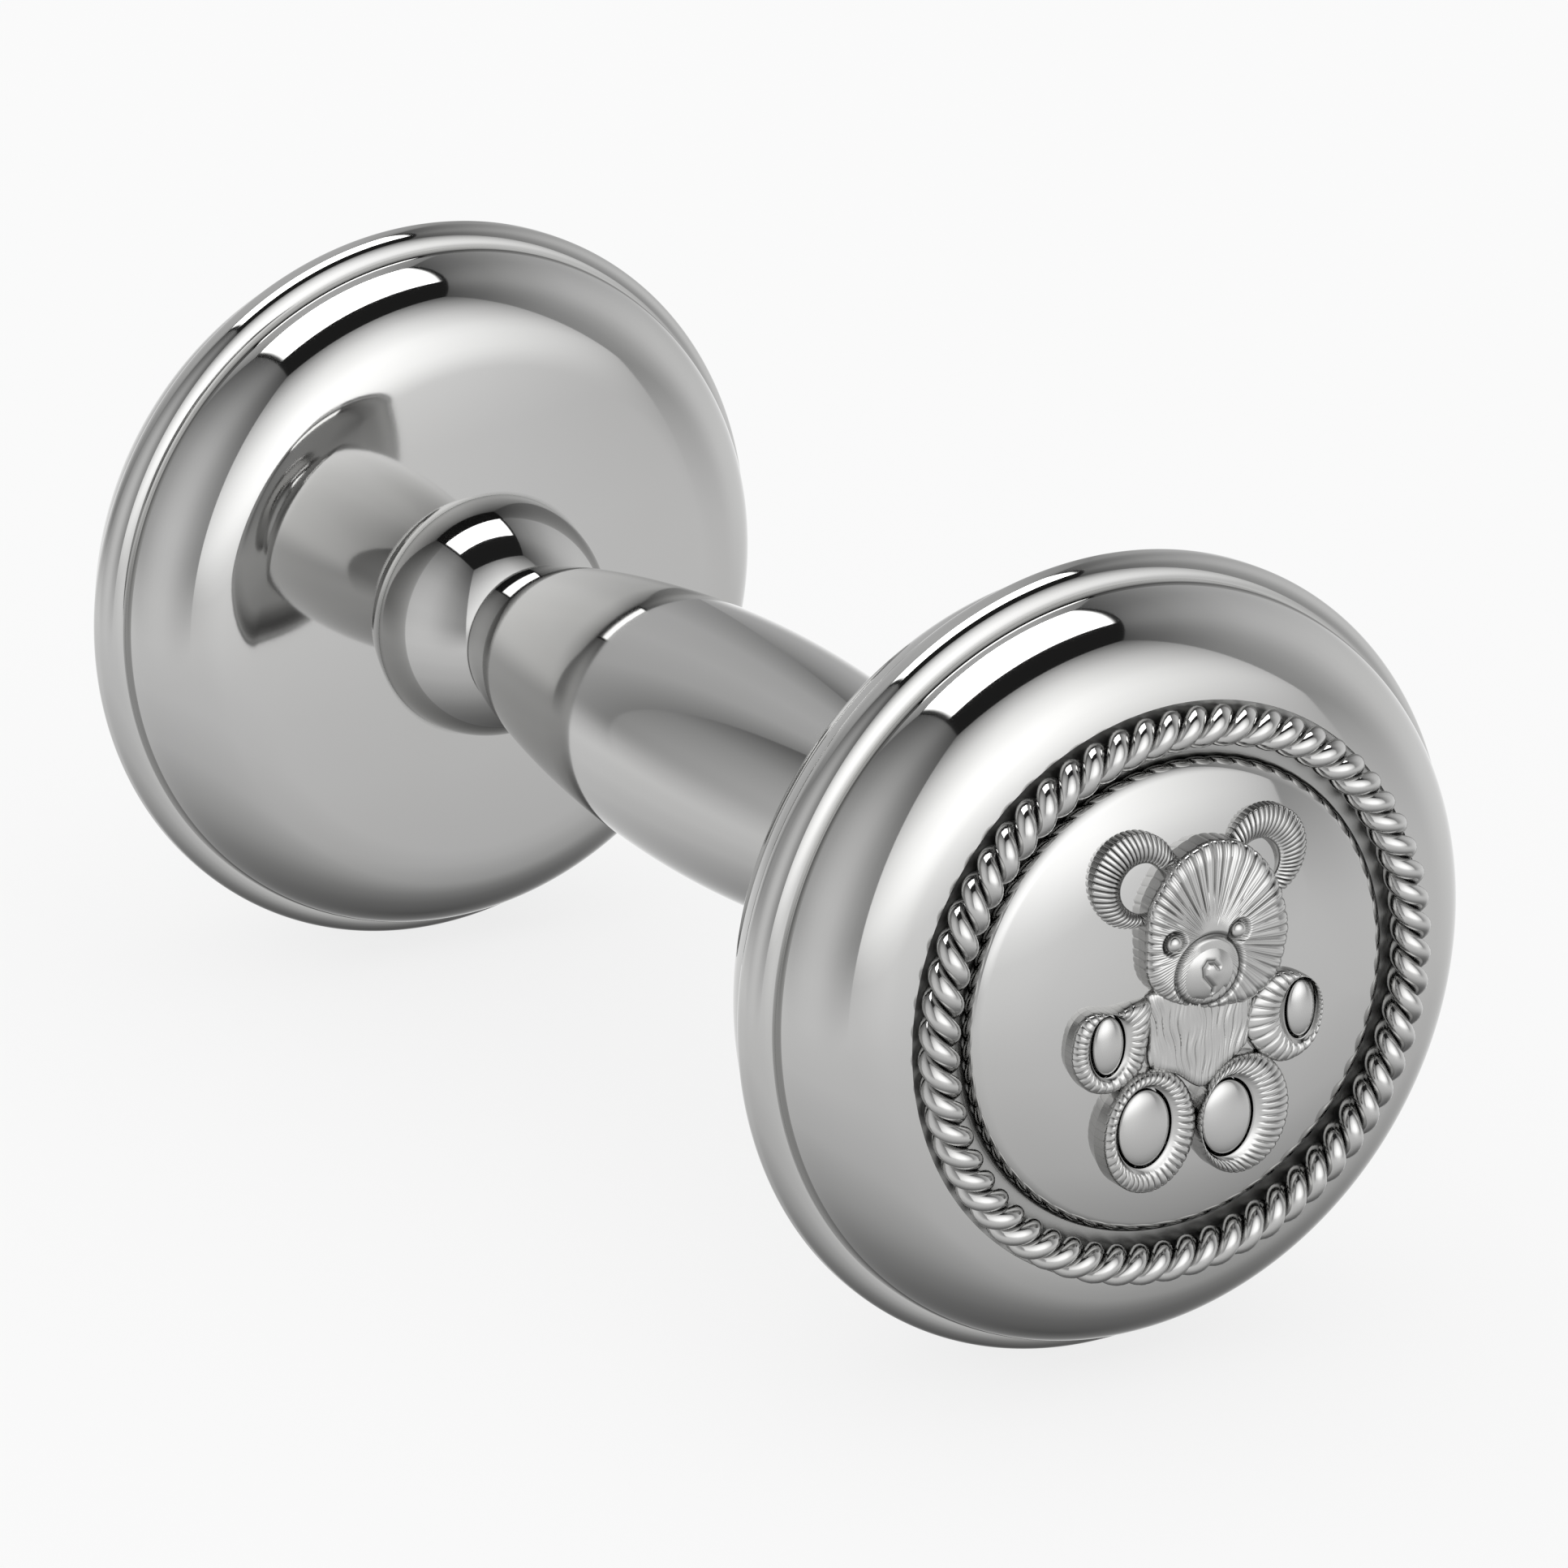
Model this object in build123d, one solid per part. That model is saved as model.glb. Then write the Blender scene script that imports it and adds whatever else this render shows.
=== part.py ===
from build123d import *
import os
from math import asin, degrees, radians, sin

# Silver dumbbell baby rattle, in millimetres.
# The rattle's axis runs along Y. The front head faces -Y and carries a teddy bear, whose head is up (+Z).
# The rattle lies on its two rim bands: Z = 0 is the surface, and Y = 0 is the middle of the overall length.
# Every piece is drawn about the Y axis. A head's pieces face +Y, with the head's mid-plane at Y = 0,
# and so do the knops, with the middle of the grip at Y = 0.

# Heads
HEAD_R = 22.5  # outer radius, over the rim band
HEAD_SPACING = 74.86  # between the two heads' mid-planes
WALL = 0.5  # struck silver sheet

# Rim band, and the skirts of the two shells that it covers
SKIRT_R = 21.3  # also the crease beside the rim band
RIM_HALF = 1.36  # half the rim band's width
RIM_ROUND = 1.2  # rounding of its outer corners
LIP_R = SKIRT_R - WALL  # the inner shell's register lip fits inside the outer shell's skirt
LIP_REACH = 1.2
LIP_ROOT = 1.6

# Dome of every shell: a shoulder arc, a blend arc and a wide crown arc, tangent to each other
SHOULDER_START = 1.43  # height above the mid-plane where the straight skirt ends
SHOULDER_R = 5.33
BLEND_R = 13.5
SHOULDER_TILT = 16.0  # slope, in degrees, where the shoulder meets the blend
CROWN_TILT = 6.5  # slope, in degrees, where the blend meets the crown

# Outward face: a sunk flat seat for the rope border and the medallion
SEAT_R = 16.25
SEAT_HEIGHT = 6.6
ROPE_RING_R = 15.08
ROPE_R = 1.125
ROPE_SINK = 0.125  # the rope is dressed flat where it is soldered down
MEDAL_R = 13.4
MEDAL_FOOT = 0.15  # straight edge at the medallion's foot
MEDAL_SHOULDER_R = 1.2
MEDAL_TILT = 18.0  # slope, in degrees, where the medallion's shoulder meets its blend
MEDAL_BLEND_R = 24.0
MEDAL_CROWN_TILT = 9.0  # slope, in degrees, where its blend meets its crown

# Handle
KNOP_R = 7.46
KNOP_CENTRE = 30.0  # from the middle of the grip
GRIP_END = 24.1  # where the grip meets the knop
GRIP_STATIONS = [(0, 7.72), (9, 7.29), (15.75, 6.44), (20.25, 5.57), (GRIP_END, 4.54)]  # distance, radius
GRIP_WALL = 0.6
SPIGOT_R = 3.4  # the knop's spigot, inside the grip's mouth
SPIGOT_LENGTH = 3.0

# Loose pellets inside each head, side by side at the bottom of the cavity
PELLETS = 4
PELLET_R = 1.5
PELLET_GAP = 0.3  # between two pellets, and between a pellet and the lip

# Teddy bear, positions from the medallion's centre: X to the right and Z up, seen from the front
BEAR_TOP = 11.0  # the muzzle's height above the head's mid-plane
BEAR_FOOT = 7.6  # the casting is started under the medallion's face and cut back to it
EAR = {"middle": 0.3, "x": 4.15, "z": 7.75, "outer": 2.68, "hole": 1.35, "hole_in": 0.45, "top": 9.3}
FACE_OVAL = {"x": 0.8, "z": 4.78, "wide": 4.6, "high": 4.78, "top": 10.5}
MUZZLE = {"x": -0.05, "z": 2.45, "wide": 1.98, "high": 1.98, "top": BEAR_TOP}
EYES = [(-2.26, 4.38), (1.78, 4.42)]
EYE = {"radius": 0.47, "top": 10.7}
TORSO = [(-3.6, 0.7), (3.3, 0.7), (3.3, -2.9), (-0.1, -4.6), (-3.5, -2.9)]
TORSO_TOP = 9.9
LIMBS = [  # centre, half axes and height of each paw or foot, then the centre and half axes of its pad
    ((-5.6, -1.2), (2.4, 2.5), 9.95, (-6.0, -0.93), (1.0, 1.58)),
    ((5.5, -1.6), (2.4, 2.8), 9.95, (6.4, -1.25), (0.9, 1.6)),
    ((-3.2, -6.35), (3.0, 3.53), 10.1, (-3.6, -6.0), (1.62, 2.2)),
    ((2.85, -6.55), (3.0, 3.45), 10.1, (1.75, -6.45), (1.6, 2.15)),
]
PAD_GROOVE = 0.28  # width of the groove around each pad
PAD_DEPTH = 0.35
PAD_PROUD = 0.15
BEAR_ROUND = 0.4  # rounding of the casting's front edges

HALF = HEAD_SPACING / 2


def turned(edges):
    """A solid of revolution about Y from the edges of an outline at X >= 0."""
    return revolve(make_face(Wire(edges)), Axis.Y)


def ring(inner, outer, low, high):
    """A plain ring about Y, or a disc if its inner radius is 0."""
    corners = [(inner, low), (outer, low), (outer, high), (inner, high)]
    return turned(Polyline(*corners, close=True).edges())


def flipped(solid):
    """The solid's mirror image, facing -Y."""
    return mirror(solid, Plane.XZ)


def dome(offset=0):
    """The closed solid under a shell's dome, down to the mid-plane, offset inwards by this much."""
    edge = SKIRT_R - offset
    start = (edge, SHOULDER_START)
    shoulder = JernArc(start, (0, 1), SHOULDER_R - offset, 90 - SHOULDER_TILT)
    blend = JernArc(shoulder @ 1, shoulder % 1, BLEND_R - offset, SHOULDER_TILT - CROWN_TILT)
    crown_r = (blend @ 1).X / sin(radians(CROWN_TILT))
    crown = JernArc(blend @ 1, blend % 1, crown_r, CROWN_TILT)
    sides = Polyline(crown @ 1, (0, 0), (edge, 0), start)
    return turned([shoulder, blend, crown, *sides.edges()])


def height(solid):
    """The highest Y of a solid."""
    return solid.bounding_box().max.Y


def outer_shell():
    """The outward half of a head: a dome with a sunk flat seat, closed by a floor."""
    outside = dome() - ring(0, SEAT_R, SEAT_HEIGHT, HEAD_R)
    inside = dome(WALL) - ring(0, SEAT_R + WALL, SEAT_HEIGHT - WALL, HEAD_R)
    return outside - inside


def inner_shell():
    """The half of a head towards the handle: a dome with a register lip."""
    return flipped(dome() - dome(WALL)) + ring(LIP_R - WALL, LIP_R, -LIP_ROOT, LIP_REACH)


def rim_band():
    """The half-round wire band that covers the seam between the two shells."""
    flat = HEAD_R - RIM_ROUND
    lower = JernArc((flat, -RIM_HALF), (1, 0), RIM_ROUND, 90)
    upper = JernArc((HEAD_R, RIM_HALF - RIM_ROUND), (0, 1), RIM_ROUND, 90)
    land = Line(lower @ 1, upper @ 0)
    inner = Polyline(upper @ 1, (SKIRT_R, RIM_HALF), (SKIRT_R, -RIM_HALF), lower @ 0)
    return turned([lower, land, upper, *inner.edges()])


def rope_border():
    """The round envelope of the twisted wire border, dressed flat underneath."""
    centre = SEAT_HEIGHT + ROPE_R - ROPE_SINK
    torus = Pos(0, centre, 0) * Rot(90, 0, 0) * Torus(ROPE_RING_R, ROPE_R)
    return torus - ring(0, HEAD_R, 0, SEAT_HEIGHT)


def medallion_form(offset=0):
    """The closed solid under the medallion's face, down to the seat, offset inwards by this much."""
    edge = MEDAL_R - offset
    start = (edge, SEAT_HEIGHT + MEDAL_FOOT)
    shoulder = JernArc(start, (0, 1), MEDAL_SHOULDER_R - offset, 90 - MEDAL_TILT)
    blend = JernArc(shoulder @ 1, shoulder % 1, MEDAL_BLEND_R - offset, MEDAL_TILT - MEDAL_CROWN_TILT)
    crown_r = (blend @ 1).X / sin(radians(MEDAL_CROWN_TILT))
    crown = JernArc(blend @ 1, blend % 1, crown_r, MEDAL_CROWN_TILT)
    sides = Polyline(crown @ 1, (0, SEAT_HEIGHT), (edge, SEAT_HEIGHT), start)
    return turned([shoulder, blend, crown, *sides.edges()])


def knop():
    """The hollow half ball soldered on the head's dome, with a tubular spigot for the grip."""
    place = Pos(0, KNOP_CENTRE, 0)
    ball = place * Sphere(KNOP_R) & ring(0, KNOP_R, GRIP_END, HALF)
    hollow = place * Sphere(KNOP_R - WALL) & ring(0, KNOP_R, GRIP_END + WALL, HALF)
    ball -= hollow + ring(0, SPIGOT_R - WALL, GRIP_END, GRIP_END + 2 * WALL)
    ball -= Pos(0, HALF, 0) * flipped(dome())
    return ball + ring(SPIGOT_R - WALL, SPIGOT_R, GRIP_END - SPIGOT_LENGTH, GRIP_END)


def grip_half(stations, end_tangent):
    """A closed solid of half the grip's outline, from its middle to its last station."""
    points = [(radius, distance) for distance, radius in stations]
    curve = Spline(*points, tangents=[(0, 1), end_tangent])
    sides = Polyline(points[-1], (0, points[-1][1]), (0, 0), points[0])
    return turned([curve, *sides.edges()])


def grip_barrel():
    """The hollow swelling grip, with a straight mouth at each end for a knop's spigot."""
    inside = [(distance, radius - GRIP_WALL) for distance, radius in GRIP_STATIONS[:-1]]
    half = grip_half(GRIP_STATIONS, (-0.32, 1)) - grip_half(inside, (-0.24, 1))
    half -= ring(0, SPIGOT_R, 0, GRIP_END)
    return half + flipped(half)


FRONT_FACE = Plane(origin=(0, -HALF, 0), x_dir=(1, 0, 0), z_dir=(0, -1, 0))


def stud(x, z, wide, high, top, low=BEAR_FOOT, rounding=BEAR_ROUND):
    """An oval stud on the front face with a rounded front edge, between two heights."""
    oval = FRONT_FACE.offset(low) * Pos(x, z) * Ellipse(wide, high)
    body = extrude(oval, top - low)
    return fillet(body.faces().sort_by(Axis.Y)[0].edges(), rounding)


def limb(centre, half_axes, top, pad_centre, pad_axes):
    """A paw or foot with a smooth oval pad in a ring groove."""
    wide, high = pad_axes
    body = stud(*centre, *half_axes, top)
    oval = Ellipse(wide + PAD_GROOVE, high + PAD_GROOVE)
    groove = FRONT_FACE.offset(top - PAD_DEPTH) * Pos(*pad_centre) * oval
    pad = stud(*pad_centre, wide, high, top + PAD_PROUD, top - PAD_DEPTH - 0.1)
    return body - extrude(groove, BEAR_TOP) + pad


def ear(side):
    """A ring-shaped ear: side is -1 for the left one and 1 for the right one."""
    body = stud(EAR["middle"] + side * EAR["x"], EAR["z"], EAR["outer"], EAR["outer"], EAR["top"])
    centre = (EAR["middle"] + side * (EAR["x"] - EAR["hole_in"]), EAR["z"] - EAR["hole_in"])
    return body - extrude(FRONT_FACE * Pos(*centre) * Circle(EAR["hole"]), HEAD_R)


def bear():
    """The sitting bear, one casting, on the front medallion."""
    torso = FRONT_FACE.offset(BEAR_FOOT) * make_face(Polyline(*TORSO, close=True))
    casting = extrude(torso, TORSO_TOP - BEAR_FOOT) + ear(-1) + ear(1)
    for shape in LIMBS:
        casting += limb(*shape)
    casting += stud(**FACE_OVAL) + stud(**MUZZLE)
    for x, z in EYES:
        casting += stud(x, z, EYE["radius"], EYE["radius"], EYE["top"], rounding=0.3)
    return casting - Pos(0, -HALF, 0) * flipped(medallion_form())


def pellet(index):
    """One pellet of a head, counted in the positive turning sense about Y."""
    orbit = LIP_R - WALL - PELLET_GAP - PELLET_R
    step = 2 * degrees(asin((PELLET_R + PELLET_GAP / 2) / orbit))
    angle = (index - (PELLETS - 1) / 2) * step
    return Rot(0, angle, 0) * Pos(0, 0, -orbit) * Sphere(PELLET_R)


medallion = medallion_form() - medallion_form(WALL)
head = {
    "outer_shell": outer_shell(),
    "inner_shell": inner_shell(),
    "rim_band": rim_band(),
    "rope_border": rope_border(),
    "medallion": medallion,
}

nodes = {"grip_barrel": grip_barrel(), "bear_applique": bear()}
for end, turn in (("front", 180), ("rear", 0)):
    facing = Rot(0, 0, turn)
    for name, piece in head.items():
        nodes[f"{end}_{name}"] = facing * Pos(0, HALF, 0) * piece
    nodes[f"{end}_knop"] = facing * knop()
    for index in range(PELLETS):
        side = -HALF if end == "front" else HALF
        nodes[f"{end}_pellet_{index + 1}"] = Pos(0, side, 0) * pellet(index)

middle = (BEAR_TOP - height(medallion)) / 2  # the grip's middle, from the middle of the overall length
os.makedirs("parts", exist_ok=True)
for name, piece in nodes.items():
    export_step(Pos(0, middle, HEAD_R) * piece, f"parts/{name}.step")
print(f"grip middle at y {middle:.3f}, overall length {2 * HALF + BEAR_TOP + height(medallion):.2f}")
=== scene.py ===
import math

import bpy
import numpy as np
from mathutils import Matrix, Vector


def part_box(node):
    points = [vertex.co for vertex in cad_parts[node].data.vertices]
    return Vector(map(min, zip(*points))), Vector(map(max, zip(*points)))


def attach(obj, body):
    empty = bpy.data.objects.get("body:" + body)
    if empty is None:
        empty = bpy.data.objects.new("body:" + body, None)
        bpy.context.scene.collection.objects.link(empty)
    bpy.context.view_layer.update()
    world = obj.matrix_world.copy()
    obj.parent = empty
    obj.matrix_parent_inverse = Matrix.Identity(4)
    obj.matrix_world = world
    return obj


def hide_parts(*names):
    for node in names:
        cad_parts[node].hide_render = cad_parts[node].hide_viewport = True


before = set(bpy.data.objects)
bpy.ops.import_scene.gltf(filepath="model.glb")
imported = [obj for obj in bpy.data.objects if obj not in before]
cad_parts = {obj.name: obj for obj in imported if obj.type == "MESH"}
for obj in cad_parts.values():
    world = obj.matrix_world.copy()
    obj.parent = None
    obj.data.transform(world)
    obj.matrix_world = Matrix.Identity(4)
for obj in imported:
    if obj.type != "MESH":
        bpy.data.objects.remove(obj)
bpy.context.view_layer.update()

# Sizes in millimetres. The rattle's axis runs along Y at the height of the rims' radius.
MM = 0.001
TURN = 2 * math.pi
AXIS_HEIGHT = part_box("front_rim_band")[1].z / 2
MIDDLE = (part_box("grip_barrel")[0].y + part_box("grip_barrel")[1].y) / 2
HEADS = {name: sum(corner.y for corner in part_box(f"{name}_rim_band")) / 2 for name in ("front", "rear")}

HEAD_R = 22.5
WALL = 0.5
SKIRT_R, SHOULDER_START, SHOULDER_R, SHOULDER_TILT = 21.3, 1.43, 5.33, 16.0
BLEND_R, CROWN_TILT = 13.5, 6.5
RIM_HALF, RIM_ROUND = 1.36, 1.2
SEAT_R, SEAT_HEIGHT = 16.25, 6.6
ROPE_RING_R, ROPE_R, ROPE_TURNS = 15.08, 1.125, 30
ROPE_HEIGHT = SEAT_HEIGHT + 1.0
MEDAL_R, MEDAL_FOOT, MEDAL_SHOULDER_R, MEDAL_TILT = 13.4, 0.15, 1.2, 18.0
MEDAL_BLEND_R, MEDAL_CROWN_TILT = 24.0, 9.0
KNOP_R, KNOP_CENTRE, GRIP_END = 7.46, 30.0, 24.1
KNOP_BORE_R, KNOP_BORE_TILT = 2.9, 0.72
GRIP_WALL, GRIP_BORE_R = 0.6, 3.4
HALF = 37.43  # from the middle of the grip to a head's mid-plane
SPOKES = 360


def place(points, end):
    """A head's points (right and up as seen from outside it, and outwards, in mm) in the row frame."""
    right, up, out = np.asarray(points, float).T
    if end == "front":
        return np.stack([right * MM, HEADS[end] - out * MM, AXIS_HEIGHT + up * MM], 1)
    return np.stack([-right * MM, HEADS[end] + out * MM, AXIS_HEIGHT + up * MM], 1)


def along_grip(points):
    """The grip's points (right, up, and distance along the axis from its middle, in mm) in the row frame."""
    right, up, along = np.asarray(points, float).T
    return np.stack([-right * MM, MIDDLE + along * MM, AXIS_HEIGHT + up * MM], 1)


def make(name, points, faces, recess, sharp=38):
    """A smooth-shaded mesh object. recess is 0 on open surfaces and 1 in the deepest grooves."""
    mesh = bpy.data.meshes.new(name)
    mesh.from_pydata([tuple(p) for p in points], [], faces)
    mesh.update()
    mesh.shade_smooth()
    mesh.set_sharp_from_angle(angle=math.radians(sharp))
    layer = mesh.attributes.new("recess", "FLOAT", "POINT")
    layer.data.foreach_set("value", np.clip(recess, 0, 1).astype(np.float32))
    piece = bpy.data.objects.new(name, mesh)
    bpy.context.scene.collection.objects.link(piece)
    return piece


def grid_faces(rows, columns, first=0, closed=True):
    """Quads between neighbouring rows of points. The columns close on themselves."""
    faces = []
    last = columns if closed else columns - 1
    for i in range(rows - 1):
        a, b = first + i * columns, first + (i + 1) * columns
        faces += [(a + j, a + (j + 1) % columns, b + (j + 1) % columns, b + j) for j in range(last)]
    return faces


def lathe(outline, spokes=SPOKES):
    """Points, faces and recess of a closed outline of (radius, height, recess) turned about the axis."""
    turn = np.arange(spokes) * TURN / spokes
    points, recess, starts = [], [], []
    for radius, height, depth in outline:
        starts.append(len(points))
        around = turn if radius > 1e-6 else turn[:1]
        points += [(radius * math.cos(a), radius * math.sin(a), height) for a in around]
        recess += [depth] * len(around)
    faces = []
    for i in range(len(outline)):
        a, b = i, (i + 1) % len(outline)
        flat_a, flat_b = outline[a][0] <= 1e-6, outline[b][0] <= 1e-6
        for j in range(spokes):
            k = (j + 1) % spokes
            if flat_a and flat_b:
                break
            if flat_a:
                faces.append((starts[a], starts[b] + k, starts[b] + j))
            elif flat_b:
                faces.append((starts[a] + j, starts[a] + k, starts[b]))
            else:
                faces.append((starts[a] + j, starts[a] + k, starts[b] + k, starts[b] + j))
    return points, faces, np.array(recess)


def arc(centre, radius, start, end, steps):
    """Points of an arc. Its angles are slopes in degrees: 90 faces outwards and 0 along the axis."""
    tilt = np.radians(np.linspace(start, end, steps))
    return [(centre[0] + radius * math.sin(t), centre[1] + radius * math.cos(t)) for t in tilt]


def carry_on(line, radius, start, end, steps):
    """The outline with a tangent arc added to its end."""
    r, h = line[-1]
    tilt = math.radians(start)
    centre = (r - radius * math.sin(tilt), h - radius * math.cos(tilt))
    return line + arc(centre, radius, start, end, steps)[1:]


def crown(line, start, steps):
    """The outline with a last tangent arc, which ends square to the axis."""
    return carry_on(line, line[-1][0] / math.sin(math.radians(start)), start, 0, steps)


def dome(offset=0.0, density=1.0):
    """(radius, height) from a shell's skirt to its apex."""
    def steps(count):
        return max(4, int(count * density))

    line = arc((SKIRT_R - SHOULDER_R, SHOULDER_START), SHOULDER_R - offset, 90, SHOULDER_TILT, steps(64))
    line = carry_on(line, BLEND_R - offset, SHOULDER_TILT, CROWN_TILT, steps(14))
    return crown(line, CROWN_TILT, steps(40))


def height_at(line, radius):
    """The height of an outline at a radius."""
    r, h = np.array(line).T
    return float(np.interp(radius, r[::-1], h[::-1]))


def cut(line, low):
    """The part of an outline outside a radius, ending exactly on it."""
    return [p for p in line if p[0] > low + 1e-4] + [(low, height_at(line, low))]


def plain(line, depth=0.0):
    return [(r, h, depth) for r, h in line]


def outer_shell(end):
    """The outward half of a head, with its sunk seat."""
    crease = [(SKIRT_R, 0.0, 1.0), (SKIRT_R, RIM_HALF, 1.0)]
    outside = cut(dome(), SEAT_R)
    lip = outside[-1][1]
    seat = [(SEAT_R, lip, 0.6), (SEAT_R, SEAT_HEIGHT, 1.0)]
    seat += [(MEDAL_R, SEAT_HEIGHT, 1.0), (0.0, SEAT_HEIGHT, 1.0)]
    inside = cut(dome(WALL, 0.4), SEAT_R + WALL)[::-1]
    back = [(0.0, SEAT_HEIGHT - WALL, 0.5), (SEAT_R + WALL, SEAT_HEIGHT - WALL, 0.5)]
    outline = crease + plain(outside[:-1]) + seat + back + plain(inside, 0.5)
    outline.append((SKIRT_R - WALL, 0.0, 0.5))
    points, faces, recess = lathe(outline)
    return make(f"{end}_outer_shell", place(points, end), faces, recess)


def inner_shell(end):
    """The half of a head towards the grip."""
    outside = [(r, -h) for r, h in dome()]
    inside = [(r, -h) for r, h in dome(WALL, 0.4)][::-1]
    knop_foot = [(r, h, 0.9 if abs(r - KNOP_R) < 0.25 else 0.0) for r, h in outside]
    outline = [(SKIRT_R, 0.0, 1.0), (SKIRT_R, -RIM_HALF, 1.0)] + knop_foot + plain(inside, 0.5)
    outline.append((SKIRT_R - WALL, 0.0, 0.5))
    points, faces, recess = lathe(outline)
    faces = [f[::-1] for f in faces]
    return make(f"{end}_inner_shell", place(points, end), faces, recess)


def rim_band(end):
    """The half-round wire over the seam."""
    inner_r = SKIRT_R - 0.1  # a little inside the shells' skirts, so that no gap shows
    top = arc((HEAD_R - RIM_ROUND, RIM_HALF - RIM_ROUND), RIM_ROUND, 90, 0, 24)
    low = [(r, -h) for r, h in top][::-1]
    outline = [(inner_r, -RIM_HALF, 1.0)] + plain(low) + plain(top) + [(inner_r, RIM_HALF, 1.0)]
    points, faces, recess = lathe(outline)
    return make(f"{end}_rim_band", place(points, end), faces, recess)


def medallion(end):
    """The low domed plate inside the rope."""
    shoulder = (MEDAL_R - MEDAL_SHOULDER_R, SEAT_HEIGHT + MEDAL_FOOT)
    line = arc(shoulder, MEDAL_SHOULDER_R, 90, MEDAL_TILT, 36)
    line = carry_on(line, MEDAL_BLEND_R, MEDAL_TILT, MEDAL_CROWN_TILT, 24)
    line = crown(line, MEDAL_CROWN_TILT, 44)
    inside = [(MEDAL_R - WALL, SEAT_HEIGHT), (MEDAL_R - WALL, SEAT_HEIGHT + MEDAL_FOOT + 0.2)]
    inside += [(8.0, height_at(line, 8.0) - WALL), (0.0, line[-1][1] - WALL)]
    outline = [(MEDAL_R, SEAT_HEIGHT, 1.0)] + plain(line) + plain(inside[::-1], 0.5)
    points, faces, recess = lathe(outline)
    return make(f"{end}_medallion", place(points, end), faces, recess)


def rope_border(end):
    """Two wires twisted together round the medallion."""
    strand_r = ROPE_R / 2
    steps, sides = ROPE_TURNS * 36, 18  # points along and round each wire
    ring = np.arange(steps) * TURN / steps
    points, faces, recess = [], [], []
    radial = np.stack([np.cos(ring), np.sin(ring), 0 * ring], 1)
    out = np.array([0.0, 0.0, 1.0])
    for strand in (0, 1):
        twist = math.pi * strand - ROPE_TURNS * ring
        lean = np.sin(twist)[:, None] * radial + np.cos(twist)[:, None] * out
        line = ROPE_RING_R * radial + out * ROPE_HEIGHT + strand_r * lean
        ahead = np.roll(line, -1, 0) - np.roll(line, 1, 0)
        ahead /= np.linalg.norm(ahead, axis=1, keepdims=True)
        side = np.cross(ahead, lean)
        side /= np.linalg.norm(side, axis=1, keepdims=True)
        lift = np.cross(side, ahead)
        first = len(points)
        for i in range(steps):
            for j in range(sides):
                a = TURN * j / sides
                points.append(line[i] + strand_r * (math.cos(a) * lift[i] + math.sin(a) * side[i]))
                recess.append(0.5 - 0.9 * math.cos(a))
        ring_faces = grid_faces(steps, sides, first)
        last = first + (steps - 1) * sides
        for j in range(sides):
            k = (j + 1) % sides
            ring_faces.append((last + j, last + k, first + k, first + j))
        faces += [f[::-1] for f in ring_faces]
    points = np.array(points)
    points[:, 2] = np.maximum(points[:, 2], SEAT_HEIGHT)
    return make(f"{end}_rope_border", place(points, end), faces, np.array(recess), sharp=60)


def knop(end):
    """The hollow half ball between grip and head."""
    def ball(radius, tilts):
        return [(radius * math.sin(t), KNOP_CENTRE - radius * math.cos(t)) for t in tilts]

    seat = HALF - height_at(dome(), KNOP_R * 0.98)
    start = math.acos((KNOP_CENTRE - seat) / KNOP_R)
    outside = ball(KNOP_R, np.linspace(start, math.acos((KNOP_CENTRE - GRIP_END) / KNOP_R), 60))
    inside = ball(KNOP_R - WALL, np.linspace(start, KNOP_BORE_TILT, 12))[::-1]
    ends = (0, len(outside) - 1)
    outline = [(r, h, 0.8 if i in ends else 0.0) for i, (r, h) in enumerate(outside)]
    outline += [(KNOP_BORE_R, GRIP_END, 0.5)] + plain(inside, 0.5)
    points, faces, recess = lathe(outline)
    if end == "front":
        points = [(x, z, -h) for x, z, h in points]
    else:
        faces = [f[::-1] for f in faces]
    return make(f"{end}_knop", along_grip(points), faces, recess)


def grip_radius(distance):
    """The swelling grip's radius at a distance from its middle."""
    y = distance / HEAD_R
    return HEAD_R * (0.34316 - 0.12174 * y**2 + 0.02006 * y**4 - 0.01898 * y**6)


def grip_barrel():
    stations = np.linspace(-GRIP_END, GRIP_END, 181)
    outside = [(grip_radius(s), s, 0.8 if abs(s) > GRIP_END - 0.1 else 0.0) for s in stations]
    back = np.linspace(GRIP_END, -GRIP_END, 41)
    inside = [(max(GRIP_BORE_R, grip_radius(s) - GRIP_WALL), s, 0.5) for s in back]
    points, faces, recess = lathe(outside + inside)
    return make("grip_barrel", along_grip(points), [f[::-1] for f in faces], recess)


# The teddy bear. Positions are right and up from the medallion's centre, seen from the front,
# and heights are above the head's mid-plane.
BEAR_FOOT = 7.7
BEAR_TOP = 10.98
EAR_TOP, CHEST_TOP, ARM_TOP, LEG_TOP, FACE_TOP = 9.35, 10.0, 10.0, 10.15, 10.66
EAR_STROKES, FACE_STROKES, FUR_STROKES = 46, 46, 121


def wave(angle, *terms):
    """A sum of sines, for the small irregularities of hand chasing."""
    return sum(size * np.sin(count * angle + shift) for count, size, shift in terms)


def groove(phase, sharpness=2.2):
    """0 on the ridges and 1 in the valleys of a row of strokes. One stroke per turn of phase."""
    return (1 - np.abs(np.sin(phase / 2))) ** sharpness


def smooth(low, high, value):
    t = np.clip((value - low) / (high - low), 0, 1)
    return t * t * (3 - 2 * t)


def oval(centre, half_axes, angle, lean=0.0):
    """Points of an ellipse at parameter angles."""
    x, z = half_axes[0] * np.cos(angle), half_axes[1] * np.sin(angle)
    c, s = math.cos(lean), math.sin(lean)
    return np.stack([centre[0] + c * x - s * z, centre[1] + s * x + c * z], 1)


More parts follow.
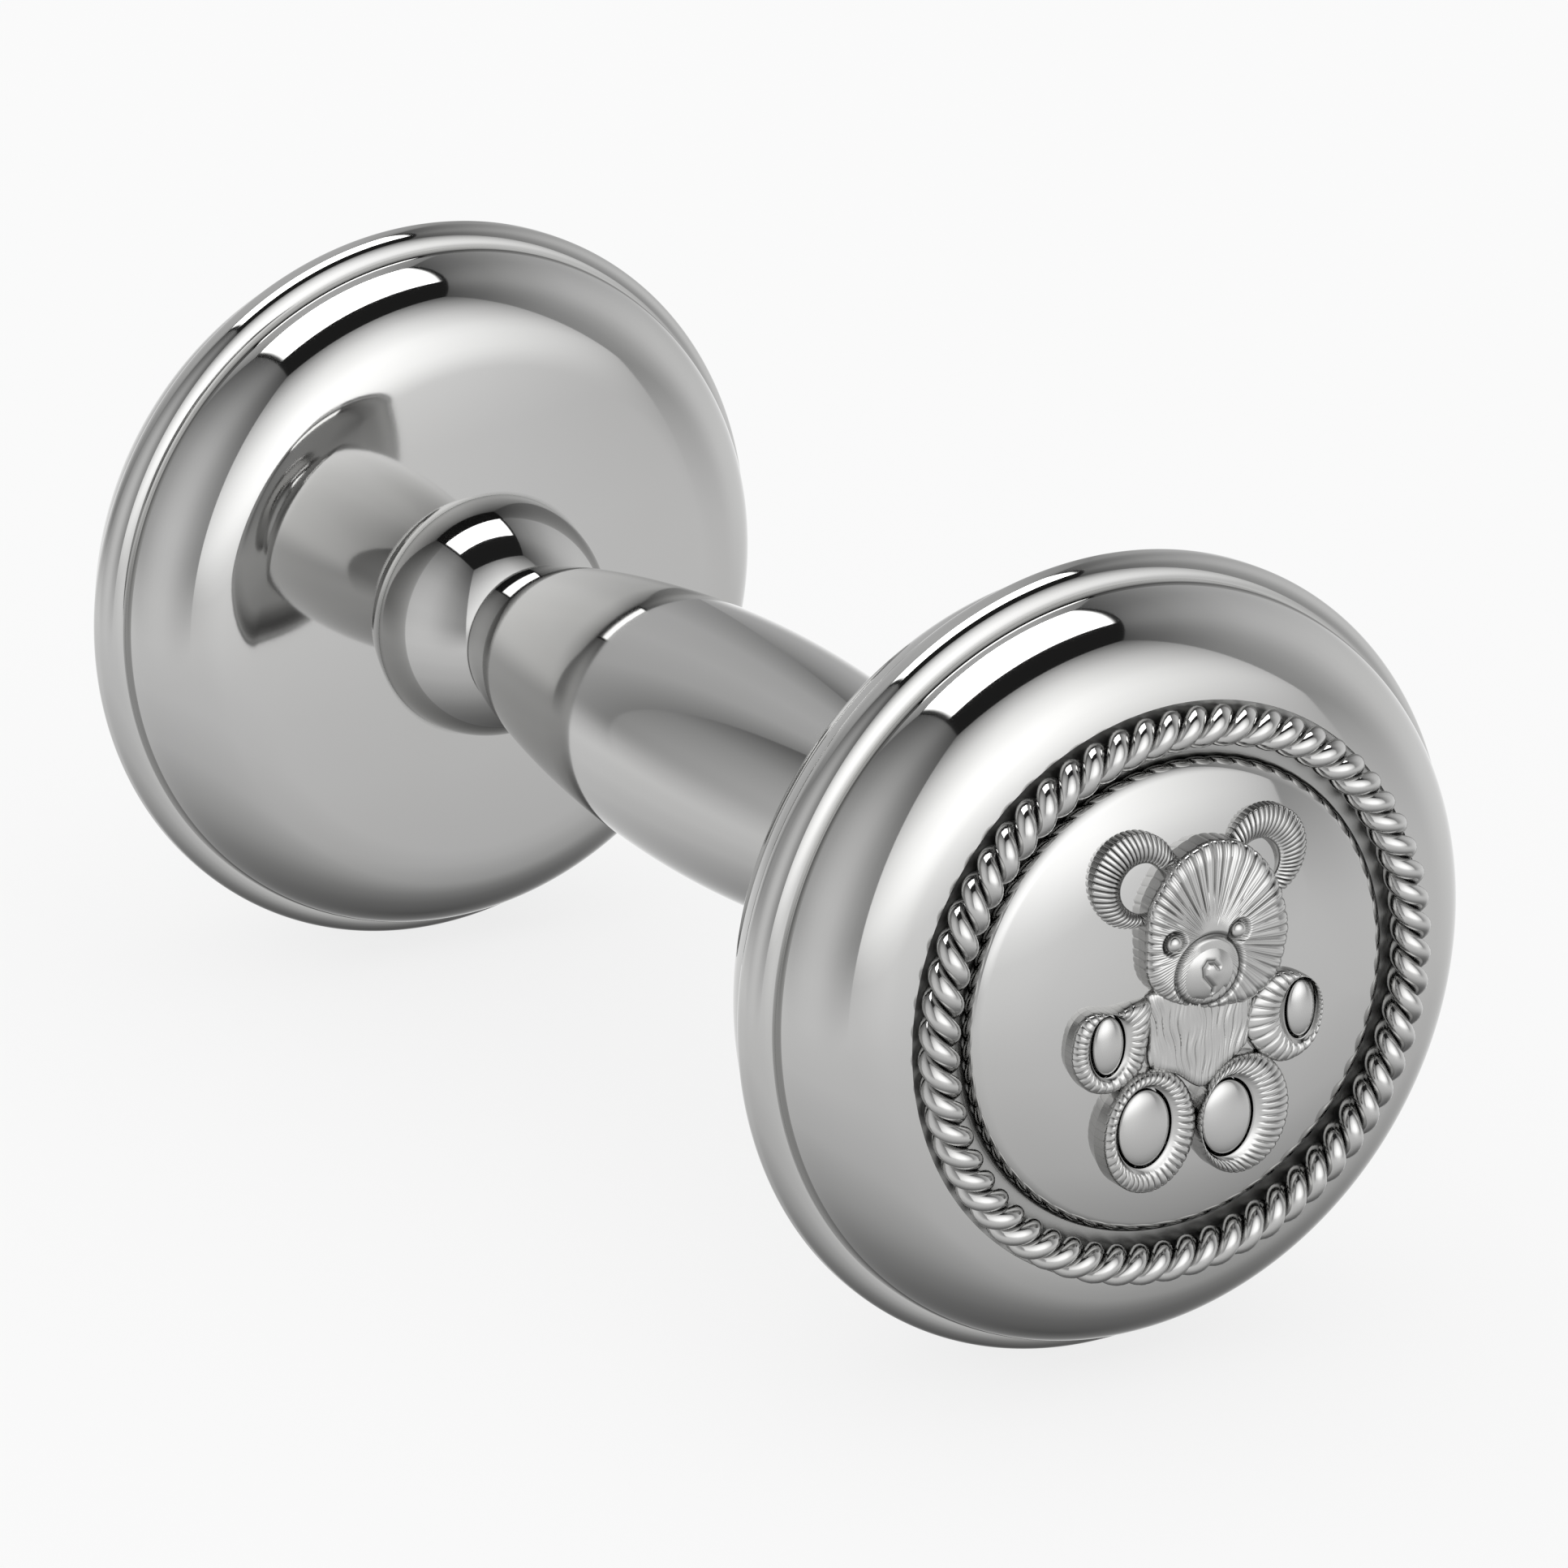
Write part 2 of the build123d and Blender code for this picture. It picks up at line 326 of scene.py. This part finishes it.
def closed_curve(corners, count, start):
    """A smooth closed curve through corners, sampled evenly by its angle about start."""
    corners = np.asarray(corners, float)
    n = len(corners)
    fine = []
    for i in range(n):
        p0, p1, p2, p3 = (corners[(i + k) % n] for k in (-1, 0, 1, 2))
        t = np.linspace(0, 1, 60, endpoint=False)[:, None]
        bend = 2 * p0 - 5 * p1 + 4 * p2 - p3
        twist = 3 * p1 - p0 - 3 * p2 + p3
        fine.append(0.5 * (2 * p1 + (p2 - p0) * t + bend * t**2 + twist * t**3))
    fine = np.concatenate(fine)
    offset = fine - np.asarray(start, float)
    angle = np.arctan2(offset[:, 1], offset[:, 0])
    reach = np.hypot(offset[:, 0], offset[:, 1])
    order = np.argsort(angle)
    wanted = np.arange(count) * TURN / count
    reach = np.interp(wanted, angle[order], reach[order], period=TURN)
    return np.asarray(start) + np.stack([reach * np.cos(wanted), reach * np.sin(wanted)], 1)


class Relief:
    """Collects the patches of a relief into one mesh."""

    def __init__(self):
        self.points, self.faces, self.recess = [], [], []

    def add(self, rows, recess):
        """rows is an array of closed rows of points, from the inside of a patch to its foot."""
        count, columns = rows.shape[:2]
        first = sum(len(p) for p in self.points)
        self.points.append(rows.reshape(-1, 3))
        self.recess.append(recess.reshape(-1))
        self.faces += grid_faces(count, columns, first)
        return first

    def cap(self, first, columns):
        """Closes the innermost row of a patch that starts at a point."""
        self.faces.append(tuple(first + j for j in range(columns))[::-1])

    def side(self, edge, top, recess):
        """Rows of the upright wall under a patch's edge."""
        rows, depth = [], []
        for share in (0.04, 0.12, 0.3, 0.6, 1.0):
            height = top + (BEAR_FOOT - top) * share
            rows.append(np.column_stack([edge, height]))
            depth.append(recess * (1 - share) + 0.35 * share)
        return rows, depth

    def patch(self, centre, edge, surface, rings):
        """A patch from a centre point to a closed edge.

        surface gives height and recess from the share of the way to the edge, the angle, and the point.
        """
        columns = len(edge)
        angle = np.arange(columns) * TURN / columns
        rows, depth = [], []
        for share in np.linspace(0.02, 1, rings):
            spot = np.asarray(centre) + share * (edge - np.asarray(centre))
            height, hollow = surface(share, angle, spot[:, 0], spot[:, 1])
            rows.append(np.column_stack([spot, np.minimum(height, BEAR_TOP)]))
            depth.append(hollow)
        more, deep = self.side(edge, rows[-1][:, 2], depth[-1])
        first = self.add(np.array(rows + more), np.array(depth + deep))
        self.cap(first, columns)

    def band(self, inner, outer, surface, rings, open_hole=False):
        """A band between two closed curves. An open hole has a wall of its own."""
        columns = len(outer)
        angle = np.arange(columns) * TURN / columns
        rows, depth = [], []
        for share in np.linspace(0, 1, rings):
            spot = inner + share * (outer - inner)
            height, hollow = surface(share, angle, spot[:, 0], spot[:, 1])
            rows.append(np.column_stack([spot, np.minimum(height, BEAR_TOP)]))
            depth.append(hollow)
        if open_hole:
            more, deep = self.side(inner, rows[0][:, 2], depth[0])
            rows = more[::-1] + rows
            depth = deep[::-1] + depth
        more, deep = self.side(outer, rows[-1][:, 2], depth[-1])
        self.add(np.array(rows + more), np.array(depth + deep))


def rounded(share, start, drop):
    """How far a surface has dropped near its edge."""
    t = np.clip((share - start) / (1 - start), 0, 1)
    return drop * (1 - np.sqrt(np.maximum(0, 1 - t * t)))


def bear():
    relief = Relief()
    spokes = 720
    angle = np.arange(spokes) * TURN / spokes

    # Ears: rings with strokes across them and a notched edge
    for side in (-1, 1):
        def ear_strokes(turn, side=side):
            return groove(EAR_STROKES * turn + wave(turn, (3, 0.9, side), (7, 0.5, 1.3 + side)))

        def ear_ring(share, turn, x, z):
            hollow = ear_strokes(turn) * smooth(0.0, 0.22, share)
            height = EAR_TOP - 0.38 * (2 * share - 1) ** 2 - 0.16 * hollow
            return height, 0.9 * hollow + 0.5 * (1 - smooth(0, 0.12, share))

        centre = (0.3 + side * 4.15, 7.75)
        hole = (0.3 + side * 3.7, 7.3)
        outer = oval(centre, (2.66, 2.66), angle)
        outer = np.asarray(centre) + (outer - np.asarray(centre)) * (1 - 0.022 * ear_strokes(angle))[:, None]
        relief.band(oval(hole, (1.35, 1.35), angle), outer, ear_ring, rings=26, open_hole=True)

    # Torso: a chest of uneven downward strokes
    chest_edge = [(-3.3, 1.4), (0.0, 1.6), (3.3, 1.4), (3.2, -1.0), (3.0, -2.6)]
    chest_edge += [(1.5, -3.5), (0.1, -4.4), (-1.5, -3.4), (-3.1, -2.7), (-3.2, -0.9)]
    heart = (0.0, -1.3)

    def chest(share, turn, x, z):
        fan = (x - 0.1) / (1 + 0.06 * (z + 1.5))
        waver = 0.22 * np.sin(1.1 * z + 2.3 * fan) + 0.12 * np.sin(2.9 * z - 1.7 * fan)
        phase = TURN * (fan / 0.47 + waver)
        fine = groove(2.3 * phase + 0.8 * np.sin(1.9 * z), 1.3)
        worn = 0.35 + 0.65 * smooth(-0.6, 0.8, np.sin(1.3 * z + 1.9 * fan))
        hollow = groove(phase, 1.6) * smooth(-4.6, -3.0, z) * worn
        height = CHEST_TOP - 0.02 * (x - 0.1) ** 2 - rounded(share, 0.8, 0.3)
        return height - 0.1 * hollow - 0.03 * fine, 0.5 * hollow + 0.12 * fine + 0.5 * smooth(0.94, 1, share)
    relief.patch(heart, closed_curve(chest_edge, spokes, heart), chest, rings=90)

    # Arms and feet, each with a smooth pad in a ring groove
    left_arm = [(-8.07, -1.3), (-7.77, 0.3), (-6.87, 1.1), (-5.37, 1), (-4.07, 1.2), (-3.07, 1.1)]
    left_arm += [(-3.17, -0.5), (-3.57, -2.5), (-4.37, -3.2), (-5.47, -3.65), (-6.77, -3.4), (-7.67, -2.5)]
    right_arm = [(3.03, -1.3), (3.63, 0.1), (4.83, 1), (6.23, 0.9), (7.43, 0), (7.88, -1.3)]
    right_arm += [(7.53, -2.9), (6.73, -3.8), (5.43, -4.15), (4.13, -3.5), (3.23, -2.4)]
    left_paw, right_paw = (-5.85, -0.9), (6.45, -1.22)
    left_foot = oval((-3.15, -6.3), (2.93, 3.5), angle)
    right_foot = oval((2.82, -6.5), (3.0, 3.4), angle)
    # Outline, the pad's centre and half axes, height, strokes and their depth, and the ring groove's corners
    limbs = [
        (closed_curve(left_arm, spokes, left_paw), left_paw, (0.98, 1.65), ARM_TOP, 34, 0.09, 60),
        (closed_curve(right_arm, spokes, right_paw), right_paw, (0.9, 1.62), ARM_TOP, 30, 0.10, 60),
        (left_foot, (-3.58, -5.98), (1.62, 2.16), LEG_TOP, 44, 0.11, 0),
        (right_foot, (1.7, -6.45), (1.6, 2.12), LEG_TOP, 44, 0.11, 0),
    ]
    for outline, centre, pad, top, strokes, depth, corners in limbs:
        ring = oval(centre, (pad[0] + 0.14, pad[1] + 0.14), angle)
        if corners:
            ring = closed_curve(ring[:: spokes // corners], spokes, centre)

        def fur(share, turn, x, z, top=top, strokes=strokes, depth=depth):
            phase = strokes * turn + wave(turn, (3, 0.8, strokes), (5, 0.6, top))
            hollow = groove(phase) * smooth(0.12, 0.4, share)
            bow = 0.38 * (2 * np.clip(share, 0.15, 1) - 1.0) ** 2
            lift = top - bow - 0.16 * (1 - smooth(0, 0.2, share))
            height = lift - depth * hollow - rounded(share, 0.85, 0.12)
            return height, 0.6 * hollow + 0.62 * (1 - smooth(0, 0.14, share))
        relief.band(ring, outline, fur, rings=30)

        def pad_surface(share, turn, x, z, top=top):
            height = top - 0.45 + 0.52 * np.sqrt(max(0.0, 1 - 0.97 * share * share))
            return height + 0 * turn, 0.6 * smooth(0.96, 1, share) + 0 * turn
        relief.patch(centre, oval(centre, pad, angle), pad_surface, rings=26)

    # Head: strokes run out from the nape, longest over the brow
    nape = np.array([0.0, 4.1])
    face_edge = [(0.6, 9.5), (-0.5, 9.3), (-1.85, 8.6), (-3.2, 7.0), (-3.6, 5.9), (-3.72, 4.2)]
    face_edge += [(-3.62, 2.5), (-2.75, 1.37), (-1.4, 0.6), (0.24, 0.12), (1.7, 0.02), (3.05, 0.1)]
    face_edge += [(4.65, 1.24), (5.25, 3.0), (5.3, 4.3), (4.7, 6.3), (3.7, 7.9), (2.3, 9.05)]
    eyes = [(-2.26, 4.38), (1.78, 4.42)]
    muzzle = np.array([-0.05, 2.45])
    ways = np.radians([-180, -150, -110, -90, -60, -30, 0, 25, 60, 90, 120, 155, 180])
    starts = [0.72, 0.78, 0.72, 0.6, 0.42, 0.36, 0.42, 0.4, 0.26, 0.3, 0.3, 0.6, 0.72]
    depths = [0.10, 0.12, 0.10, 0.06, 0.06, 0.07, 0.09, 0.15, 0.19, 0.2, 0.17, 0.12, 0.10]

    def face_phase(turn):
        return FACE_STROKES * turn + wave(turn, (3, 0.8, 0.4), (7, 0.7, 2.0), (13, 0.4, 0.7))

    def face(share, turn, x, z):
        swing = (turn + math.pi) % TURN - math.pi
        start = np.interp(swing, ways, starts) + 0.09 * np.sin(9 * turn) + 0.05 * np.sin(23 * turn + 1)
        depth = np.interp(swing, ways, depths)
        hollow = groove(face_phase(turn), 1.8) * smooth(start, start + 0.25, share)
        fine = groove(FUR_STROKES * turn + wave(turn, (5, 1.1, 1.0), (17, 0.6, 0.2)), 1.4)
        light = 0.28 * fine * smooth(0.15, 0.4, share)
        reach = np.hypot(x - muzzle[0], z - muzzle[1])
        ring = np.exp(-(((reach - 2.02) / 0.16) ** 2))
        socket = np.zeros_like(turn)
        for eye in eyes:
            near = np.hypot(x - eye[0], z - eye[1])
            socket = np.maximum(socket, 1 - smooth(0.5, 0.82, near))
        height = FACE_TOP - 0.30 * share**2 - rounded(share, 0.82, 0.5)
        height -= depth * (hollow + light) + 0.2 * ring
        return height - 0.25 * socket, np.clip(0.6 * hollow + 0.6 * light + ring + 0.85 * socket, 0, 1)
    edge = closed_curve(face_edge, spokes, nape)
    edge = nape + (edge - nape) * (1 - 0.009 * groove(face_phase(angle)))[:, None]
    relief.patch(nape, edge, face, rings=110)

    # Eyes
    def bead(share, turn, x, z):
        height = FACE_TOP - 0.3 + 0.4 * np.sqrt(max(0.0, 1 - 0.98 * share * share))
        return height + 0 * turn, 0.9 * smooth(0.85, 1, share) + 0 * turn
    for eye in eyes:
        relief.patch(eye, oval(eye, (0.47, 0.47), angle[::6]), bead, rings=14)

    # Muzzle, with the nose and mouth line
    nose = [(0.3, 2.75), (0.05, 3.05), (-0.35, 3.1), (-0.6, 2.8)]
    nose += [(-0.57, 2.35), (-0.25, 1.95), (0.05, 1.6), (0.05, 1.3)]
    mouth = [(-0.85, 0.95), (-0.4, 0.82), (0.05, 0.9), (0.5, 1.05), (0.85, 1.35)]

    def line_distance(path, x, z):
        best = np.full_like(x, 9.0)
        for (ax, az), (bx, bz) in zip(path, path[1:]):
            span = (bx - ax) ** 2 + (bz - az) ** 2
            t = np.clip(((x - ax) * (bx - ax) + (z - az) * (bz - az)) / span, 0, 1)
            best = np.minimum(best, np.hypot(x - ax - t * (bx - ax), z - az - t * (bz - az)))
        return best

    def snout(share, turn, x, z):
        line = np.minimum(line_distance(nose, x, z), line_distance(mouth, x, z))
        cutting = np.exp(-((line / 0.13) ** 2))
        tip = np.exp(-((x / 0.5) ** 2) - (((z - 2.55) / 0.45) ** 2))
        height = 9.95 + 0.95 * np.sqrt(max(0.0, 1 - 0.98 * share * share)) + 0.08 * tip
        return height - 0.13 * cutting, 0.85 * cutting + 0.9 * smooth(0.94, 1, share)
    relief.patch(muzzle, oval(muzzle, (1.93, 1.95), angle), snout, rings=80)

    points, recess = np.concatenate(relief.points), np.concatenate(relief.recess)
    return make("bear_applique", place(points, "front"), relief.faces, recess, sharp=75)


# Materials
def silver(name, bright, dark, rough, patina_rough, wear):
    """Polished silver: fine polishing marks, a little cloudiness, and grey left in the recesses."""
    material = bpy.data.materials.new(name)
    material.use_nodes = True
    nodes, links = material.node_tree.nodes, material.node_tree.links
    shader = nodes["Principled BSDF"]
    shader.inputs["Metallic"].default_value = 1.0
    where = nodes.new("ShaderNodeTexCoord")
    cloud = nodes.new("ShaderNodeTexNoise")
    cloud.inputs["Scale"].default_value = 90.0
    cloud.inputs["Detail"].default_value = 4.0
    marks = nodes.new("ShaderNodeTexNoise")
    marks.inputs["Scale"].default_value = 2600.0
    marks.inputs["Detail"].default_value = 3.0
    recess = nodes.new("ShaderNodeAttribute")
    recess.attribute_name = "recess"
    ramp = nodes.new("ShaderNodeValToRGB")
    ramp.color_ramp.elements[0].position, ramp.color_ramp.elements[0].color = 0.35, (0, 0, 0, 1)
    ramp.color_ramp.elements[1].position, ramp.color_ramp.elements[1].color = 1.0, (1, 1, 1, 1)
    tint = nodes.new("ShaderNodeMix")
    tint.data_type = "RGBA"
    tint.inputs["A"].default_value = (*bright, 1)
    tint.inputs["B"].default_value = (bright[0] * 0.97, bright[1] * 0.965, bright[2] * 0.95, 1)
    coat = nodes.new("ShaderNodeMix")
    coat.data_type = "RGBA"
    coat.inputs["B"].default_value = (*dark, 1)
    soft = nodes.new("ShaderNodeMapRange")
    soft.inputs["To Min"].default_value, soft.inputs["To Max"].default_value = rough, rough + wear
    rise = nodes.new("ShaderNodeMath")
    rise.operation = "MULTIPLY_ADD"
    rise.inputs[1].default_value = patina_rough
    bump = nodes.new("ShaderNodeBump")
    bump.inputs["Strength"].default_value = 0.02
    bump.inputs["Distance"].default_value = 0.00001
    links.new(where.outputs["Object"], cloud.inputs["Vector"])
    links.new(where.outputs["Object"], marks.inputs["Vector"])
    links.new(cloud.outputs["Fac"], tint.inputs["Factor"])
    links.new(recess.outputs["Fac"], ramp.inputs["Fac"])
    links.new(tint.outputs["Result"], coat.inputs["A"])
    links.new(ramp.outputs["Color"], coat.inputs["Factor"])
    links.new(coat.outputs["Result"], shader.inputs["Base Color"])
    links.new(cloud.outputs["Fac"], soft.inputs["Value"])
    links.new(ramp.outputs["Color"], rise.inputs[0])
    links.new(soft.outputs["Result"], rise.inputs[2])
    links.new(rise.outputs["Value"], shader.inputs["Roughness"])
    links.new(marks.outputs["Fac"], bump.inputs["Height"])
    links.new(bump.outputs["Normal"], shader.inputs["Normal"])
    return material


polished = silver("polished_silver", (0.46, 0.46, 0.458), (0.34, 0.34, 0.335), 0.04, 0.3, 0.02)
wire = silver("twisted_silver_wire", (0.46, 0.46, 0.458), (0.22, 0.22, 0.22), 0.08, 0.25, 0.03)
cast = silver("cast_silver", (0.46, 0.46, 0.458), (0.14, 0.14, 0.138), 0.13, 0.2, 0.05)


def steel_shot():
    """Tumbled steel."""
    material = bpy.data.materials.new("steel_shot")
    material.use_nodes = True
    nodes, links = material.node_tree.nodes, material.node_tree.links
    shader = nodes["Principled BSDF"]
    shader.inputs["Metallic"].default_value = 1.0
    where = nodes.new("ShaderNodeTexCoord")
    dents = nodes.new("ShaderNodeTexVoronoi")
    dents.inputs["Scale"].default_value = 2500.0
    tone = nodes.new("ShaderNodeValToRGB")
    tone.color_ramp.elements[0].color = (0.42, 0.42, 0.43, 1)
    tone.color_ramp.elements[1].color = (0.60, 0.60, 0.59, 1)
    rough = nodes.new("ShaderNodeMapRange")
    rough.inputs["To Min"].default_value, rough.inputs["To Max"].default_value = 0.22, 0.38
    bump = nodes.new("ShaderNodeBump")
    bump.inputs["Strength"].default_value = 0.25
    bump.inputs["Distance"].default_value = 0.00005
    links.new(where.outputs["Object"], dents.inputs["Vector"])
    links.new(dents.outputs["Distance"], tone.inputs["Fac"])
    links.new(tone.outputs["Color"], shader.inputs["Base Color"])
    links.new(dents.outputs["Distance"], rough.inputs["Value"])
    links.new(rough.outputs["Result"], shader.inputs["Roughness"])
    links.new(dents.outputs["Distance"], bump.inputs["Height"])
    links.new(bump.outputs["Normal"], shader.inputs["Normal"])
    return material


pieces = [(grip_barrel(), "polished_silver", polished), (bear(), "cast_silver", cast)]
for end in ("front", "rear"):
    for build in (outer_shell, inner_shell, rim_band, medallion, knop):
        pieces.append((build(end), "polished_silver", polished))
    pieces.append((rope_border(end), "twisted_silver_wire", wire))
for piece, slot, material in pieces:
    node = piece.name.split(".")[0]
    piece.data.materials.append(material)
    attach(piece, "rattle")
    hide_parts(node)

shot = steel_shot()
for name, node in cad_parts.items():
    if "pellet" in name:
        node.data.materials.clear()
        node.data.materials.append(shot)
        node.data.shade_smooth()


# Studio: a pale floor, and around it a room of lit cards that only the metal sees
def floor():
    """Mostly self-lit, so that only a faint shadow falls on it."""
    size = 3.0
    corners = [(-size, -size, 0), (size, -size, 0), (size, size, 0), (-size, size, 0)]
    mesh = bpy.data.meshes.new("floor")
    mesh.from_pydata(corners, [], [(0, 1, 2, 3)])
    piece = bpy.data.objects.new("floor", mesh)
    bpy.context.scene.collection.objects.link(piece)
    material = bpy.data.materials.new("floor")
    material.use_nodes = True
    nodes, links = material.node_tree.nodes, material.node_tree.links
    shader = nodes["Principled BSDF"]
    shader.inputs["Roughness"].default_value = 0.9
    shader.inputs["Specular IOR Level"].default_value = 0.0
    grain = nodes.new("ShaderNodeTexNoise")
    grain.inputs["Scale"].default_value = 40.0
    tone = nodes.new("ShaderNodeMix")
    tone.data_type = "RGBA"
    tone.inputs["A"].default_value = (0.170, 0.170, 0.170, 1)
    tone.inputs["B"].default_value = (0.174, 0.174, 0.174, 1)
    links.new(grain.outputs["Fac"], tone.inputs["Factor"])
    links.new(tone.outputs["Result"], shader.inputs["Base Color"])
    shader.inputs["Emission Color"].default_value = (1, 1, 1, 1)
    shader.inputs["Emission Strength"].default_value = 0.78
    mesh.materials.append(material)
    piece.visible_glossy = False


def glow_material():
    material = bpy.data.materials.new("card_glow")
    material.use_nodes = True
    nodes, links = material.node_tree.nodes, material.node_tree.links
    nodes.clear()
    level = nodes.new("ShaderNodeAttribute")
    level.attribute_name = "glow"
    light = nodes.new("ShaderNodeEmission")
    out = nodes.new("ShaderNodeOutputMaterial")
    links.new(level.outputs["Fac"], light.inputs["Strength"])
    links.new(light.outputs["Emission"], out.inputs["Surface"])
    return material


CARD = glow_material()
ROOM = 4.0  # metres from the rattle to the ceiling card
GLOW = 1.96  # the levels below are what the metal shows, and it gives back about half of what it gets
SKIRT = -0.22  # the walls reach this far below the horizon, in room units
FAR_GROUND = 0.02  # nearest depth below the horizon that the ground's light is worked out for


def card(name, point, across, up, glow, cells=40):
    """A card in room units. across and up are its spans, and glow gives its light."""
    s, t = np.meshgrid(np.linspace(0, 1, cells + 1), np.linspace(0, 1, cells + 1))
    s, t = s.ravel(), t.ravel()
    points = np.asarray(point) + s[:, None] * np.asarray(across) + t[:, None] * np.asarray(up)
    mesh = bpy.data.meshes.new(name)
    faces = grid_faces(cells + 1, cells + 1, closed=False)
    mesh.from_pydata([tuple(p * ROOM) for p in points], [], faces)
    mesh.update()
    layer = mesh.attributes.new("glow", "FLOAT", "POINT")
    layer.data.foreach_set("value", (GLOW * glow(s, t, points)).astype(np.float32))
    mesh.materials.append(CARD)
    piece = bpy.data.objects.new(name, mesh)
    bpy.context.scene.collection.objects.link(piece)
    piece.visible_camera = False
    piece.visible_diffuse = False
    piece.visible_shadow = False


def levels(value, stops):
    """Light between given stops of (place, level)."""
    return np.interp(value, [s[0] for s in stops], [s[1] for s in stops])


def room():
    """Four walls, a dark ceiling with a lit panel, and a ground that is darkest near the rattle, where the
    rattle's shadow is painted into its glow.
    """
    side, near, far = 0.46, -0.42, 0.72

    def front(s, t, p):
        across = [(-0.46, 0.62), (-0.3, 0.76), (-0.2, 0.86), (-0.06, 1), (0.06, 1)]
        across += [(0.12, 0.95), (0.2, 0.8), (0.3, 0.64), (0.46, 0.42)]
        rise = [(-0.06, 0.72), (-0.01, 0.95), (0.04, 1.15), (0.1, 1.2), (0.2, 1.15)]
        rise += [(0.29, 1.02), (0.42, 0.86), (0.6, 0.61), (0.9, 0.3), (1, 0.22)]
        return levels(p[:, 0], across) * levels(p[:, 2], rise)

    def flank(s, t, p):
        along = [(-0.42, 0.48), (-0.31, 0.56), (-0.2, 0.71), (-0.12, 0.86), (-0.04, 0.98), (0.04, 1)]
        along += [(0.12, 0.96), (0.21, 0.87), (0.32, 0.75), (0.45, 0.66), (0.72, 0.5)]
        rise = [(0, 0.53), (0.12, 0.525), (0.21, 0.49), (0.32, 0.445)]
        rise += [(0.45, 0.355), (0.64, 0.255), (1, 0.14)]
        return levels(p[:, 1], along) * levels(p[:, 2], rise)

    def back(s, t, p):
        return levels(np.abs(p[:, 0]), [(0, 0.4), (0.25, 0.36), (0.46, 0.2)]) + 0 * t

    def ceiling(s, t, p):
        return 0.012 + 0 * t

    def panel(s, t, p):
        return 2.6 * smooth(0, 0.04, np.minimum(s, 1 - s))

    def ground(s, t, p):
        # The ground's glow is darkest round a spot to the right and back: a painted shadow of the rattle,
        # seen only in the metal.
        depth = np.maximum(-p[:, 2], FAR_GROUND)
        reach = np.hypot(p[:, 0] / depth - 0.4, p[:, 1] / depth - 0.35)
        spread = [(0, 0.07), (0.45, 0.13), (0.7, 0.19), (1, 0.3)]
        spread += [(1.45, 0.42), (2.2, 0.5), (4, 0.56), (12, 0.62)]
        return levels(reach, spread)

    def horizon(wall):
        """A wall's light, blended into the ground's below the horizon."""
        def blend(s, t, p):
            share = smooth(SKIRT, 0.06, p[:, 2])
            return share * wall(s, t, p) + (1 - share) * ground(s, t, p)
        return blend

    card("card_front", (-side, near, SKIRT), (2 * side, 0, 0), (0, 0, 1 - SKIRT), horizon(front))
    card("card_left", (-side, near, SKIRT), (0, far - near, 0), (0, 0, 1 - SKIRT), horizon(flank))
    card("card_right", (side, near, SKIRT), (0, far - near, 0), (0, 0, 1 - SKIRT), horizon(flank))
    card("card_back", (-side, far, SKIRT), (2 * side, 0, 0), (0, 0, 1 - SKIRT), horizon(back))
    card("card_ceiling", (-side, near, 1), (2 * side, 0, 0), (0, far - near, 0), ceiling)
    card("card_panel", (-0.43, 0.0, 0.999), (0.86, 0, 0), (0, 0.7, 0), panel)
    card("card_ground", (-14, -14, -1), (28, 0, 0), (0, 28, 0), ground, cells=400)


floor()
room()

world = bpy.data.worlds.new("studio")
bpy.context.scene.world = world
world.use_nodes = True
world.node_tree.nodes["Background"].inputs["Color"].default_value = (1, 1, 1, 1)
world.node_tree.nodes["Background"].inputs["Strength"].default_value = 1.03
bpy.context.scene.view_settings.view_transform = "Standard"

CAMERA_FROM_GRIP = Vector((-0.22597, -0.37556, 0.15590))
CAMERA_DOWN, CAMERA_TURN = 0.3454, -0.5473
camera = bpy.data.objects.new("camera", bpy.data.cameras.new("camera"))
bpy.context.scene.collection.objects.link(camera)
camera.location = Vector((0, MIDDLE, AXIS_HEIGHT)) + CAMERA_FROM_GRIP
camera.rotation_euler = (math.pi / 2 - CAMERA_DOWN, 0, CAMERA_TURN)
camera.data.sensor_width = 36
camera.data.lens = 185.5
bpy.context.scene.camera = camera
